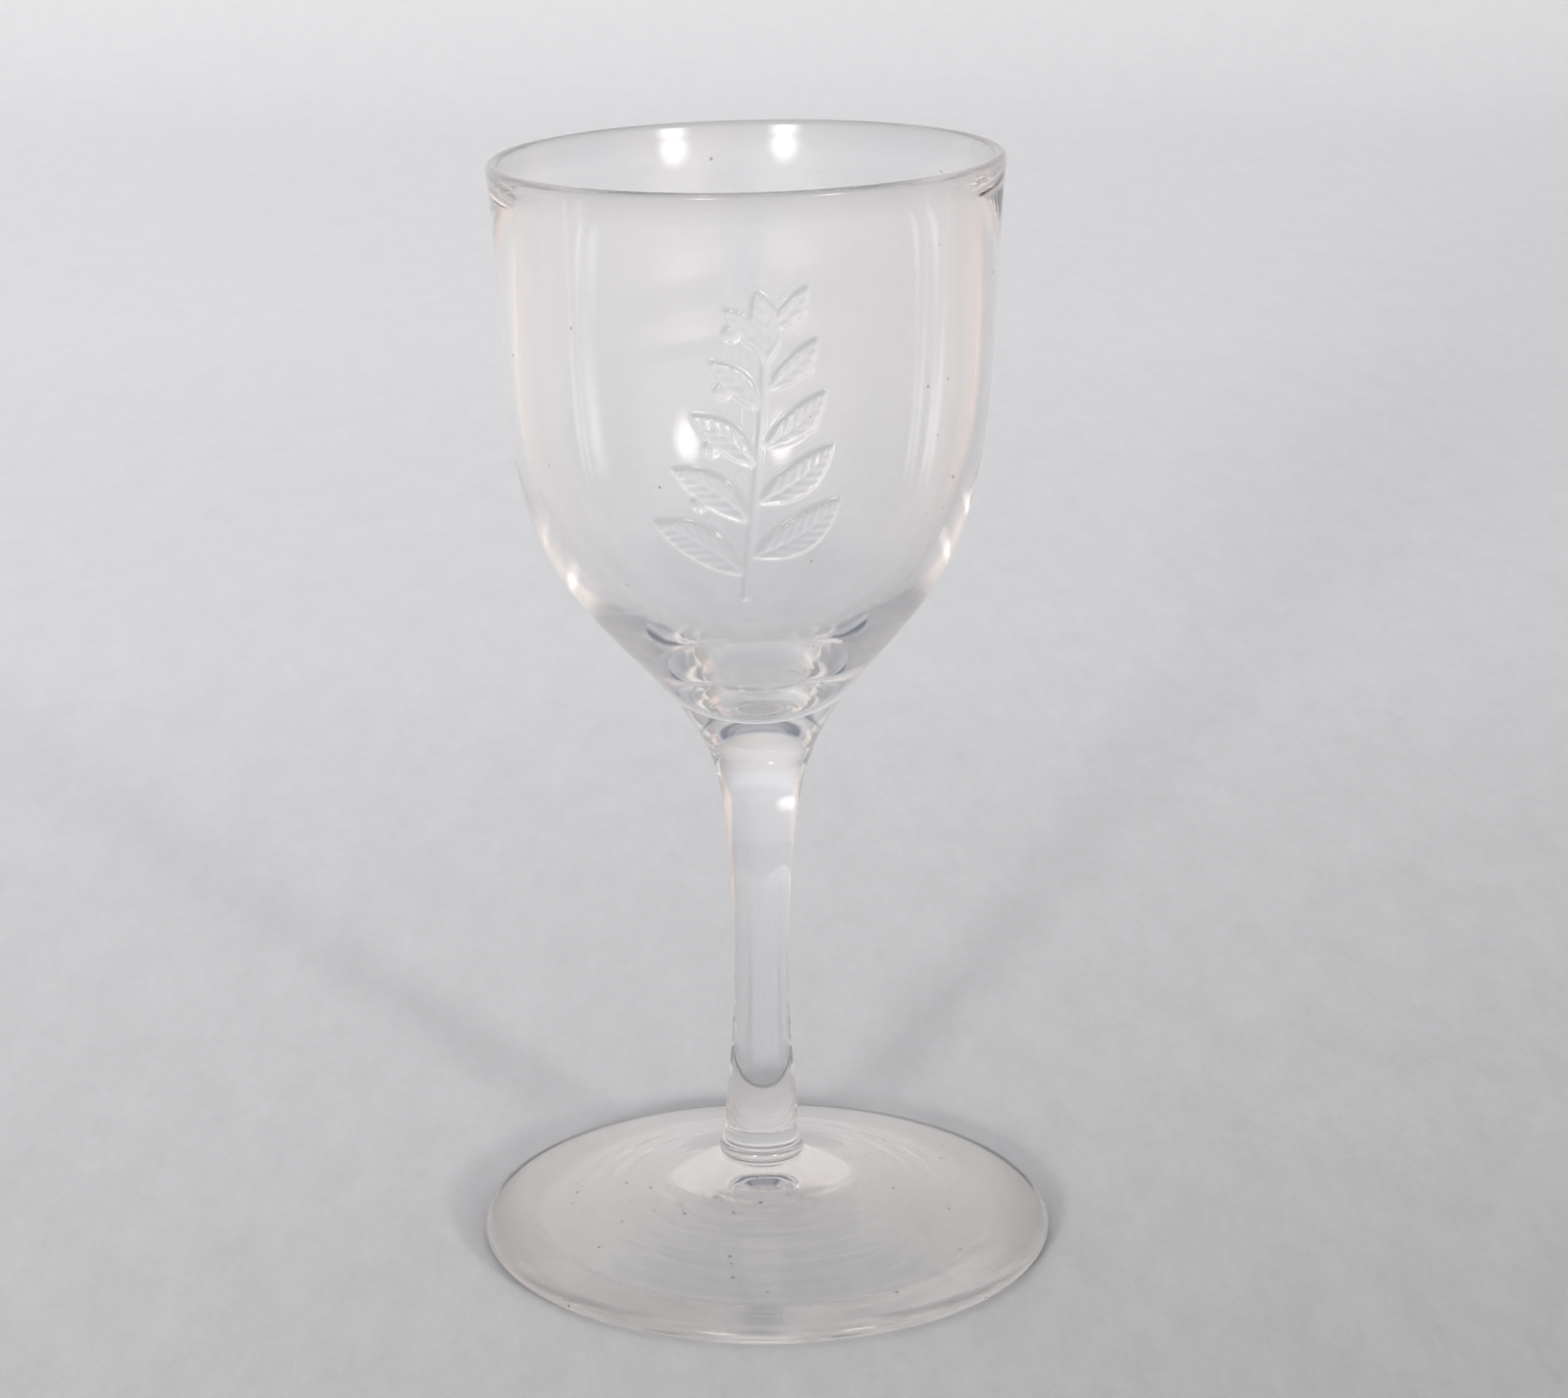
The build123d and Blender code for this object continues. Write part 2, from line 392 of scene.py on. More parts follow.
def leaf(u, v, at, turn, length, width):
    """Height of one leaf, from 0 outside it to 1 on its blade."""
    x = (u - at[0]) * math.sin(turn) + (v - at[1]) * math.cos(turn)
    y = (u - at[0]) * math.cos(turn) - (v - at[1]) * math.sin(turn)
    middle = x - length / 2
    rib = 0.18 * width * np.sin(math.pi * np.clip(x / length, 0, 1))
    y = y - rib
    reach = (length**2 / 4 + width**2 / 4) / width
    inside_leaf = reach - np.hypot(middle, np.abs(y) + reach - width / 2)
    blade = np.clip(inside_leaf / 0.42, 0, 1)
    blade = blade * blade * (3 - 2 * blade)
    groove = np.exp(-((y / 0.16) ** 2)) * np.clip(1 - x / (0.92 * length), 0, 1)
    veins = 0.1 * np.cos(2 * math.pi * (x - 1.4 * np.abs(y)) / 1.15) * blade
    return blade * (1 - 0.45 * groove) + veins * (inside_leaf > 0.25)


def berry(u, v, at, size):
    """Height of one round berry."""
    away = np.hypot(u - at[0], v - at[1]) / size
    return np.sqrt(np.clip(1 - away**2, 0, 1))


print("sprig from", SPRIG_FOOT, "to", SPRIG_TOP, "mm above the weld")

# %% Sprig layout
FIRST_LEAF, FIRST_BERRY, PAIR_STEP = 2.4, 9.2, 4.9
RIGHT_LIFT = 1.8
LEAF_SLIMNESS = 0.37
TIP_LENGTH, TIP_WIDTH = 7.2, 2.9
BERRY_SIZE = 0.8
LEAVES = []
for i in range(5):
    height = SPRIG_FOOT + FIRST_LEAF + PAIR_STEP * i
    for side in (-1, 1):
        place = height + (RIGHT_LIFT if side > 0 else 0.0)
        length = 9.6 - 1.0 * i
        LEAVES.append((place, side * math.radians(58 - 4 * i), length, LEAF_SLIMNESS * length))
BERRIES = []
for i in range(4):
    for side in (-1, 1):
        stands = SPRIG_FOOT + FIRST_BERRY + PAIR_STEP * i + (RIGHT_LIFT if side > 0 else 0.0)
        BERRIES.append((side * (4.6 - 0.6 * i), stands))


def sprig(u, v):
    """Height of the whole ornament, in millimetres, over the spread-out front of the bowl."""
    rise = np.zeros_like(u)
    on_stalk = np.clip(1 - np.abs(u - stalk_side(v)) / 0.42, 0, 1)
    on_stalk *= np.clip((v - SPRIG_FOOT) / 0.6, 0, 1) * np.clip((SPRIG_TOP - 2.5 - v) / 3, 0, 1)
    rise = np.maximum(rise, 0.75 * np.sqrt(on_stalk))
    for place, turn, length, width in LEAVES:
        rise = np.maximum(rise, leaf(u, v, (stalk_side(place), place), turn, length, width))
    tip = SPRIG_TOP - TIP_LENGTH
    at = (stalk_side(tip), tip)
    rise = np.maximum(rise, leaf(u, v, at, math.radians(-6), TIP_LENGTH, TIP_WIDTH))
    for across, stands in BERRIES:
        at = (stalk_side(stands) + across, stands)
        rise = np.maximum(rise, 0.95 * berry(u, v, at, BERRY_SIZE))
    return SPRIG_HEIGHT * rise


print(f"{len(LEAVES) + 1} leaves and {len(BERRIES)} berries")

# %% [markdown]
# ## The bowl's mesh
# The sprig needs points a sixth of a millimetre apart, and the plain rest of the bowl doesn't, so
# both the rings and the turn are closer together at the front middle. Then the bowl gets what a
# hand-made one has: a slightly swollen weld, slow waves in the wall and an axis that isn't quite
# straight. Last it is tipped about the weld, as in the CAD model.

# %% Bowl rings
FRONT = -90
SPRIG_TURN = 30
SPRIG_MARGIN = 0.8
BASE_SPACING, SPRIG_SPACING, LIP_SPACING, INSIDE_SPACING = 0.42, 0.19, 0.5, 0.85
front_end, next_front = FRONT + SPRIG_TURN, FRONT + 360 - SPRIG_TURN
front = np.radians(np.linspace(FRONT - SPRIG_TURN, front_end, 140))
sides = np.radians(np.linspace(front_end, next_front, 116))[1:-1]
BOWL_TURN = np.concatenate([front, sides])
above_foot = outside[:, 1] > SPRIG_FOOT - SPRIG_MARGIN
in_sprig = above_foot & (outside[:, 1] < SPRIG_TOP + SPRIG_MARGIN)
first, final = np.flatnonzero(in_sprig)[[0, -1]]
outside_rows = joined(
    evened(outside[: first + 1], BASE_SPACING),
    evened(outside[first : final + 1], SPRIG_SPACING),
    evened(outside[final:], LIP_SPACING),
)
inside_rows = evened(inside, INSIDE_SPACING)
bowl_outline = joined(np.array([(0, 0), (WELD_RADIUS, 0)]), outside_rows, lip, inside_rows)
bowl_rings = rings_of(bowl_outline, BOWL_TURN)
print(f"bowl of {len(bowl_outline)} rings with {len(BOWL_TURN)} points each")

# %% Sprig raised on the bowl
outer = slice(1, len(outside_rows) + 1)
line = bowl_outline[outer]
along = np.gradient(line, axis=0)
along /= np.linalg.norm(along, axis=1)[:, None]
from_front = BOWL_TURN - math.radians(FRONT)
from_front = (from_front + math.pi) % (2 * math.pi) - math.pi
across = from_front * line[:, :1]
lift = sprig(across, np.repeat(line[:, 1:], len(BOWL_TURN), 1))
lift[:, np.abs(from_front) > math.radians(SPRIG_TURN - 0.5)] = 0
bowl_rings[outer, :, 0] += lift * along[:, 1:] * np.cos(BOWL_TURN)
bowl_rings[outer, :, 1] += lift * along[:, 1:] * np.sin(BOWL_TURN)
bowl_rings[outer, :, 2] -= lift * along[:, :1]
print(f"sprig stands up to {lift.max():.2f} mm proud of the bowl")

# %% Swollen seam, slow waves and bend of the bowl
SEAM_SWELL, SEAM_WIDTH = 0.09, 0.4
SLOW_WAVE, QUICK_WAVE = 0.020, 0.012
WALL_MIDDLE = 22
AXIS_BEND = 0.4
height = bowl_outline[:, 1:]
seam = 1.25 - 0.75 * np.cos(BOWL_TURN)
swelling = SEAM_SWELL * np.exp(-(((height[outer] - seam) / SEAM_WIDTH) ** 2))
swelling *= np.clip(height[outer] / 0.5, 0, 1)
bowl_rings[outer, :, :2] *= (1 + swelling / line[:, :1])[:, :, None]
upper = np.clip((height - BASE_DEPTH) / 20, 0, 1)
waves = SLOW_WAVE * np.sin(2 * BOWL_TURN + height / 9)
waves += QUICK_WAVE * np.sin(5 * BOWL_TURN - height / 14 + 1)
bowl_rings[:, :, :2] *= (1 + upper * waves / WALL_MIDDLE)[:, :, None]
bowl_rings[:, :, 0] -= AXIS_BEND * np.sin(math.pi * np.clip(height / BOWL_HEIGHT, 0, 1)) ** 2
print(f"bowl bent by {AXIS_BEND} mm, seam {swelling.max():.2f} mm proud")

# %% Bowl, tipped about the weld
lean = math.radians(BOWL_LEAN)
x, z = bowl_rings[:, :, 0].copy(), bowl_rings[:, :, 2].copy()
bowl_rings[:, :, 0] = x * math.cos(lean) - z * math.sin(lean) - STEM_OFFSET
bowl_rings[:, :, 2] = x * math.sin(lean) + z * math.cos(lean) + weld_z
bowl_rings[:2, :, 2] += WELD_HAIR
bowl = skin("blown_bowl", bowl_rings, welds=[0])
# The lip's rows carry the mask for painted shade: the glass there is greyed so the rim reads darker.
below_lip = np.abs(np.arange(len(bowl_outline)) - len(outside_rows) - len(lip) / 2) - len(lip) / 2
lip_shade = np.clip(1 - below_lip / 2, 0, 1)[:, None]
mark_points(bowl, "lip", lip_shade, len(BOWL_TURN))

# %% [markdown]
# ## Marks that the glass shares
# Clear glass isn't perfect. It has fine waves from the tools and a little dust from use. Both
# effects appear on every piece, so each one is a node group with its own inputs: one gives a
# height for a bump, the other a colour and a roughness. The shader itself stays in the material,
# where the glass keeps a plain transmission and index.

# %% Node helpers
def node(tree, kind, **settings):
    """A new node with some of its settings and plain socket values."""
    made = tree.nodes.new(kind)
    for name, value in settings.items():
        if name in made.inputs:
            made.inputs[name].default_value = value
        else:
            setattr(made, name, value)
    return made


def new_group(name, inputs, outputs):
    """An empty shader group with named inputs and outputs."""
    tree = bpy.data.node_groups.new(name, "ShaderNodeTree")
    for label, value in inputs.items():
        kind = "NodeSocketFloat" if isinstance(value, float) else "NodeSocketColor"
        tree.interface.new_socket(label, in_out="INPUT", socket_type=kind).default_value = value
    for label, kind in outputs.items():
        tree.interface.new_socket(label, in_out="OUTPUT", socket_type=kind)
    return tree, tree.nodes.new("NodeGroupInput"), tree.nodes.new("NodeGroupOutput")


print("node helpers ready")

# %% Tooling waves
waves_tree, waves_in, waves_out = new_group(
    "tooling_waves", {"Scale": 60.0, "Stretch": 0.25}, {"Height": "NodeSocketFloat"}
)
where = node(waves_tree, "ShaderNodeTexCoord")
squeeze = node(waves_tree, "ShaderNodeCombineXYZ", X=1.0, Y=1.0)
stretched = node(waves_tree, "ShaderNodeVectorMath", operation="MULTIPLY")
ripple = node(waves_tree, "ShaderNodeTexNoise", Detail=2.0, Roughness=0.45)
waves_tree.links.new(waves_in.outputs["Stretch"], squeeze.inputs["Z"])
waves_tree.links.new(where.outputs["Object"], stretched.inputs[0])
waves_tree.links.new(squeeze.outputs[0], stretched.inputs[1])
waves_tree.links.new(stretched.outputs[0], ripple.inputs["Vector"])
waves_tree.links.new(waves_in.outputs["Scale"], ripple.inputs["Scale"])
waves_tree.links.new(ripple.outputs["Fac"], waves_out.inputs["Height"])
print("group", waves_tree.name)

# %% Dust and handling
dust_tree, dust_in, dust_out = new_group(
    "dust_and_handling",
    {"Glass": (1.0, 1.0, 1.0, 1.0), "Cells per metre": 260.0, "Speck size": 0.035, "Haze": 0.01},
    {"Color": "NodeSocketColor", "Roughness": "NodeSocketFloat"},
)
where = node(dust_tree, "ShaderNodeTexCoord")
cells = node(dust_tree, "ShaderNodeTexVoronoi", Randomness=1.0)
near = node(dust_tree, "ShaderNodeMath", operation="LESS_THAN")
pick = node(dust_tree, "ShaderNodeSeparateColor")
chosen = node(dust_tree, "ShaderNodeMath", operation="GREATER_THAN")
chosen.inputs[1].default_value = 0.62
speck = node(dust_tree, "ShaderNodeMath", operation="MULTIPLY")
tone = node(dust_tree, "ShaderNodeMix", data_type="RGBA")
tone.inputs["B"].default_value = (0.32, 0.27, 0.23, 1.0)
smear = node(dust_tree, "ShaderNodeTexNoise", Scale=45.0, Detail=3.0)
haze = node(dust_tree, "ShaderNodeMath", operation="MULTIPLY")
dull = node(dust_tree, "ShaderNodeMath", operation="MULTIPLY_ADD")
dull.inputs[1].default_value = 0.35
links = dust_tree.links
links.new(where.outputs["Object"], cells.inputs["Vector"])
links.new(where.outputs["Object"], smear.inputs["Vector"])
links.new(dust_in.outputs["Glass"], tone.inputs["A"])
links.new(dust_in.outputs["Cells per metre"], cells.inputs["Scale"])
links.new(cells.outputs["Distance"], near.inputs[0])
links.new(dust_in.outputs["Speck size"], near.inputs[1])
links.new(cells.outputs["Color"], pick.inputs[0])
links.new(pick.outputs[0], chosen.inputs[0])
links.new(near.outputs[0], speck.inputs[0])
links.new(chosen.outputs[0], speck.inputs[1])
links.new(speck.outputs[0], tone.inputs["Factor"])
links.new(tone.outputs["Result"], dust_out.inputs["Color"])
links.new(smear.outputs["Fac"], haze.inputs[0])
links.new(dust_in.outputs["Haze"], haze.inputs[1])
links.new(speck.outputs[0], dull.inputs[0])
links.new(haze.outputs[0], dull.inputs[2])
links.new(dull.outputs[0], dust_out.inputs["Roughness"])
print("group", dust_tree.name)

# %% [markdown]
# ## Clear glass
# The glass is clear, and a little warm where one looks along its surface, as at the foot's edge. An
# absorption inside the solid would give that tint, but the pieces share their welds, and a ray that
# crosses a weld would leave one solid without entering the next. So the tint is in the surface, and
# a Layer Weight makes it warmer at flat angles. Light for the table passes straight through, by two
# Light Path mixes, since bent light is costly to trace, and it is held back at flat angles, which
# gives the shadows their outlines.

# %% Glass finish
GLASS_INDEX = 1.55
WARM_EDGE = (1.0, 0.95, 0.925, 1.0)


def clear_glass(name, waves, dust, shade, soft, tint):
    """One glass finish. waves: scale, stretch and depth in millimetres. dust: cells per metre,
    speck size and haze. shade: lamp light let through face on and at flat angles. soft: soft
    light let through. tint: colour of the surface."""
    material = bpy.data.materials.new(name)
    material.use_nodes = True
    tree = material.node_tree
    tree.nodes.clear()
    surface = node(tree, "ShaderNodeBsdfPrincipled", name="glass", IOR=GLASS_INDEX, Metallic=0.0)
    surface.inputs["Transmission Weight"].default_value = 1.0
    ripples = node(tree, "ShaderNodeGroup", node_tree=waves_tree)
    ripples.inputs["Scale"].default_value, ripples.inputs["Stretch"].default_value = waves[:2]
    relief = node(tree, "ShaderNodeBump", Strength=1.0, Distance=waves[2] * MM)
    specks = node(tree, "ShaderNodeGroup", node_tree=dust_tree)
    for label, value in zip(("Cells per metre", "Speck size", "Haze"), dust):
        specks.inputs[label].default_value = value
    specks.inputs["Glass"].default_value = (*tint, 1.0)
    grazing = node(tree, "ShaderNodeLayerWeight", Blend=0.5)
    blocked = node(tree, "ShaderNodeMapRange")
    blocked.inputs["From Min"].default_value = 0.5
    blocked.inputs["To Min"].default_value, blocked.inputs["To Max"].default_value = shade
    warmth = node(tree, "ShaderNodeMapRange", interpolation_type="SMOOTHSTEP")
    warmth.inputs["From Min"].default_value = 0.45
    warm = node(tree, "ShaderNodeMix", data_type="RGBA", blend_type="MULTIPLY")
    warm.inputs["B"].default_value = WARM_EDGE
    passing = node(tree, "ShaderNodeBsdfTransparent", name="lamp_light")
    unhurt = node(tree, "ShaderNodeBsdfTransparent", name="soft_light")
    unhurt.inputs["Color"].default_value = (soft, soft, soft, 1.0)
    path = node(tree, "ShaderNodeLightPath")
    for_lamps = node(tree, "ShaderNodeMixShader")
    for_table = node(tree, "ShaderNodeMixShader")
    out = node(tree, "ShaderNodeOutputMaterial")
    links = tree.links
    links.new(ripples.outputs["Height"], relief.inputs["Height"])
    links.new(relief.outputs["Normal"], surface.inputs["Normal"])
    links.new(grazing.outputs["Facing"], warmth.inputs["Value"])
    links.new(warmth.outputs[0], warm.inputs["Factor"])
    links.new(specks.outputs["Color"], warm.inputs["A"])
    links.new(warm.outputs["Result"], surface.inputs["Base Color"])
    links.new(grazing.outputs["Facing"], blocked.inputs["Value"])
    links.new(blocked.outputs[0], passing.inputs["Color"])
    links.new(specks.outputs["Roughness"], surface.inputs["Roughness"])
    links.new(path.outputs["Is Shadow Ray"], for_lamps.inputs[0])
    links.new(surface.outputs[0], for_lamps.inputs[1])
    links.new(passing.outputs[0], for_lamps.inputs[2])
    links.new(path.outputs["Is Diffuse Ray"], for_table.inputs[0])
    links.new(for_lamps.outputs[0], for_table.inputs[1])
    links.new(unhurt.outputs[0], for_table.inputs[2])
    links.new(for_table.outputs[0], out.inputs["Surface"])
    print("glass finish", name)
    return material


# %% The four finishes
BOWL_GLASS = clear_glass(
    "bowl_glass", waves=(70, 0.3, 0.012), dust=(230, 0.04, 0.012),
    shade=(0.82, 0.1), soft=0.985, tint=(0.996, 0.998, 1.0),
)
STEM_GLASS = clear_glass(
    "stem_glass", waves=(160, 0.08, 0.006), dust=(200, 0.02, 0.010),
    shade=(0.55, 0.1), soft=0.97, tint=(0.986, 0.991, 1.0),
)
COLLAR_GLASS = clear_glass(
    "collar_glass", waves=(220, 1.0, 0.006), dust=(200, 0.02, 0.010),
    shade=(0.6, 0.1), soft=0.97, tint=(0.99, 0.98, 0.97),
)
FOOT_GLASS = clear_glass(
    "foot_glass", waves=(110, 1.0, 0.010), dust=(400, 0.075, 0.016),
    shade=(0.96, 0.88), soft=0.985, tint=(0.99, 0.972, 0.945),
)

# %% [markdown]
# ## Places with a finish of their own
# Four places differ from the clear wall: the lip, whose colour is greyed as painted shade so that
# the rim reads as a darker line; the ring that the foot stands on, ground and worn; the foot's lower
# edge, which keeps light from the table close to it; and the welds. Painted maps would need
# unwrapped meshes. The outlines know where these places are, so each one is a value stored on the
# mesh points, and an Attribute node reads it.

# %% Lip greyed as painted shade
def slip_in(tree, socket, made, entry, result):
    """Put a node between a socket and what has fed it so far."""
    tree.links.new(socket.links[0].from_socket, made.inputs[entry])
    tree.links.new(made.outputs[result], socket)


def tinted_where(material, mask, blend, colour):
    """Blend a colour into the glass where a mask stored on the mesh says so."""
    tree = material.node_tree
    place = node(tree, "ShaderNodeAttribute", attribute_name=mask)
    tinted = node(tree, "ShaderNodeMix", data_type="RGBA", blend_type=blend)
    tinted.inputs["B"].default_value = (*colour, 1.0)
    tree.links.new(place.outputs["Fac"], tinted.inputs["Factor"])
    slip_in(tree, tree.nodes["glass"].inputs["Base Color"], tinted, "A", "Result")
    print(material.name, "tinted where", mask)


# Painted shade: greying the lip makes the rim show as a darker line.
tinted_where(BOWL_GLASS, "lip", "MIX", (0.88, 0.875, 0.875))

# %% Worn ring under the foot
WORN_ROUGHNESS = 0.16
tree = FOOT_GLASS.node_tree
worn_place = node(tree, "ShaderNodeAttribute", attribute_name="ground")
worn = node(tree, "ShaderNodeMath", operation="MULTIPLY_ADD")
worn.inputs[1].default_value = WORN_ROUGHNESS
tree.links.new(worn_place.outputs["Fac"], worn.inputs[0])
slip_in(tree, tree.nodes["glass"].inputs["Roughness"], worn, 2, 0)
tinted_where(FOOT_GLASS, "ground", "MULTIPLY", (1.0, 0.968, 0.95))
print("worn ring on", FOOT_GLASS.name)

# %% Lower edge that keeps light from the table
HELD_BACK = 0.9
footing_place = node(tree, "ShaderNodeAttribute", attribute_name="footing")
let_through = node(tree, "ShaderNodeMath", operation="MULTIPLY_ADD")
let_through.inputs[1].default_value = -HELD_BACK
let_through.inputs[2].default_value = 1.0
tree.links.new(footing_place.outputs["Fac"], let_through.inputs[0])
lamp_light = node(tree, "ShaderNodeMath", operation="MULTIPLY")
tree.links.new(let_through.outputs[0], lamp_light.inputs[0])
slip_in(tree, tree.nodes["lamp_light"].inputs["Color"], lamp_light, 1, 0)
soft_socket = tree.nodes["soft_light"].inputs["Color"]
soft_light = node(tree, "ShaderNodeMath", operation="MULTIPLY")
soft_light.inputs[1].default_value = soft_socket.default_value[0]
tree.links.new(let_through.outputs[0], soft_light.inputs[0])
tree.links.new(soft_light.outputs[0], soft_socket)
print("lower edge of", FOOT_GLASS.name, "lets", round(1 - HELD_BACK, 2), "of the light through")

# %% Clear welds
weld_clear = bpy.data.materials.new("hot_weld")
weld_clear.use_nodes = True
weld_clear.node_tree.nodes.clear()
through = node(weld_clear.node_tree, "ShaderNodeBsdfTransparent", Color=(1.0, 1.0, 1.0, 1.0))
weld_out = node(weld_clear.node_tree, "ShaderNodeOutputMaterial")
weld_clear.node_tree.links.new(through.outputs[0], weld_out.inputs["Surface"])
for piece, finish in zip(
    (bowl, stem, collar, foot), (BOWL_GLASS, STEM_GLASS, COLLAR_GLASS, FOOT_GLASS)
):
    piece.data.materials.append(finish)
    piece.data.materials.append(weld_clear)
    print(piece.name, "has", [m.name for m in piece.data.materials])

# %% [markdown]
# ## The table
# The glass stands on a large sheet of pale grey paper that sweeps up behind it, so that no horizon
# line shows through the stem. A flat plane would do for the shadow, but glass shows everything
# behind it upside down and would turn such a line into a hard ring. Light and shade are painted into
# the paper's colour: darker in front and lighter up to the bend, with painted shade just in front of
# the foot and where the sheet rises, lighter on the left than on the right, and lighter and warmer
# to the sides, just outside the picture, because the sides of the bowl show what lies there.

# %% Paper sweep
PAPER_FRONT, PAPER_BEND, BEND_RADIUS, PAPER_TOP = -2.2, 0.75, 1.1, 1.55
arc = np.linspace(0, math.pi / 2, 32)
bend_y = PAPER_BEND + BEND_RADIUS * np.sin(arc)
bend_z = BEND_RADIUS * (1 - np.cos(arc))
paper_y = np.concatenate([[PAPER_FRONT, -0.6, 0.0, 0.4], bend_y, [PAPER_BEND + BEND_RADIUS]])
paper_z = np.concatenate([[0, 0, 0, 0], bend_z, [PAPER_TOP]]) - 0.02 * MM
PAPER_SIDES = (-2.4, 2.4)
paper_points = [(side, y, z) for y, z in zip(paper_y, paper_z) for side in PAPER_SIDES]
paper_faces = [(2 * i, 2 * i + 1, 2 * i + 3, 2 * i + 2) for i in range(len(paper_y) - 1)]
paper_mesh = bpy.data.meshes.new("paper_sweep")
paper_mesh.from_pydata(paper_points, [], paper_faces)
paper_mesh.shade_smooth()
paper = bpy.data.objects.new("paper_sweep", paper_mesh)
bpy.context.scene.collection.objects.link(paper)
print("paper sweep of", len(paper_faces), "faces")

# %% Colours along a value
def ramp(tree, source, low, high, stops):
    """Colours along a value from low to high. Each stop is a place from 0 to 1 and a colour."""
    span = node(tree, "ShaderNodeMapRange")
    span.inputs["From Min"].default_value = low
    span.inputs["From Max"].default_value = high
    band = node(tree, "ShaderNodeValToRGB")
    colours = band.color_ramp.elements
    colours.remove(colours[-1])
    for i, (place, colour) in enumerate(stops):
        stop = colours[0] if i == 0 else colours.new(place)
        stop.position = place
        stop.color = (*colour, 1)
    tree.links.new(source, span.inputs["Value"])
    tree.links.new(span.outputs[0], band.inputs[0])
    return band.outputs[0]


paper_finish = bpy.data.materials.new("grey_paper")
paper_finish.use_nodes = True
tree = paper_finish.node_tree
paper_surface = tree.nodes["Principled BSDF"]
paper_surface.inputs["Roughness"].default_value = 0.9
paper_surface.inputs["Specular IOR Level"].default_value = 0.1
where = node(tree, "ShaderNodeTexCoord")
parts = node(tree, "ShaderNodeSeparateXYZ")
tree.links.new(where.outputs["Object"], parts.inputs[0])
print("paper finish", paper_finish.name)

# %% Painted light on the paper, by depth
# Painted light: darker in front, lighter up to the bend, painted shade just before the foot and up
# the sweep.
PAPER_PAINTED_LIGHT = [
    (-0.6, 0.33), (-0.25, 0.46), (-0.08, 0.46), (-0.035, 0.42), (0.02, 0.475), (0.08, 0.53),
    (0.2, 0.635), (0.45, 0.74), (1.05, 0.8), (1.4, 0.685), (1.85, 0.63),
]
nearest, furthest = PAPER_PAINTED_LIGHT[0][0], PAPER_PAINTED_LIGHT[-1][0]
paper_length = furthest - nearest
depth_stops = [
    ((place - nearest) / paper_length, (tone, tone, tone * 1.01)) for place, tone in PAPER_PAINTED_LIGHT
]
painted_by_depth = ramp(tree, parts.outputs["Y"], nearest, furthest, depth_stops)
print(len(PAPER_PAINTED_LIGHT), "tones from", nearest, "to", furthest, "m")

# %% Painted light on the paper, to the sides
FAN_START = 0.45
FAN_LEAST = 0.06
FAN_EDGE = 1.2
# Painted light: lighter on the left than the right in view, lighter and warmer just outside it at
# both sides.
SIDE_PAINTED_LIGHT = [
    (0.0, (1.0, 0.945, 0.88)), (0.29, (0.98, 0.92, 0.86)), (0.335, (0.81, 0.81, 0.81)),
    (0.5, (0.74, 0.74, 0.74)), (0.665, (0.64, 0.64, 0.64)), (0.71, (0.95, 0.81, 0.73)),
    (1.0, (1.0, 0.87, 0.78)),
]
reach = node(tree, "ShaderNodeMath", operation="ADD")
reach.inputs[1].default_value = FAN_START
widening = node(tree, "ShaderNodeMath", operation="POWER")
widening.inputs[1].default_value = 2.0
ahead = node(tree, "ShaderNodeMath", operation="MAXIMUM")
ahead.inputs[1].default_value = FAN_LEAST
fan = node(tree, "ShaderNodeMath", operation="DIVIDE")
tree.links.new(parts.outputs["Y"], reach.inputs[0])
tree.links.new(reach.outputs[0], widening.inputs[0])
tree.links.new(widening.outputs[0], ahead.inputs[0])
tree.links.new(parts.outputs["X"], fan.inputs[0])
tree.links.new(ahead.outputs[0], fan.inputs[1])
painted_by_side = ramp(tree, fan.outputs[0], -FAN_EDGE, FAN_EDGE, SIDE_PAINTED_LIGHT)
print(len(SIDE_PAINTED_LIGHT), "tones from left to right")

# %% Paper grain
PAPER_LEVEL = 1.37
# The painted light from depth and sides is scaled, then mottled by the paper's real grain.
sided = node(tree, "ShaderNodeVectorMath", operation="MULTIPLY")
level = node(tree, "ShaderNodeVectorMath", operation="SCALE", Scale=PAPER_LEVEL)
fibres = node(tree, "ShaderNodeVectorMath", operation="MULTIPLY")
fibres.inputs[1].default_value = (1.0, 0.35, 0.35)
grain = node(tree, "ShaderNodeTexNoise", Scale=160.0, Detail=7.0, Roughness=0.9)
mottle = node(tree, "ShaderNodeMix", data_type="RGBA", blend_type="SOFT_LIGHT", Factor=0.36)
tree.links.new(where.outputs["Object"], fibres.inputs[0])
tree.links.new(fibres.outputs[0], grain.inputs["Vector"])
tree.links.new(painted_by_depth, sided.inputs[0])
tree.links.new(painted_by_side, sided.inputs[1])
tree.links.new(sided.outputs[0], level.inputs[0])
tree.links.new(level.outputs[0], mottle.inputs["A"])
tree.links.new(grain.outputs["Fac"], mottle.inputs["B"])
tree.links.new(mottle.outputs["Result"], paper_surface.inputs["Base Color"])
paper_mesh.materials.append(paper_finish)
print("paper grain over", len(tree.nodes), "nodes")

# %% [markdown]
# ## Light
# Two lamps stand in front, left and right. One area light for each could do everything, but the
# stem's two shadows are thin and long, so the light is small and low, while the lamps' images in the
# glass are large and soft. So each lamp is two things: a small area light that only the paper sees,
# and a glowing face that only the glass sees and that gets dim after several bounces. Low strips
# beside the glass give the bowl upright streaks, and a wide fill lights the paper. The room is warm
# low down, dark about fifty degrees up and at both sides, and dimmer on the camera's side. Glass has
# no colour of its own, so what the room does is what the glass shows.

# %% Small lamps for the paper
LAMP_AIM = Vector((0, 0, 0.06))


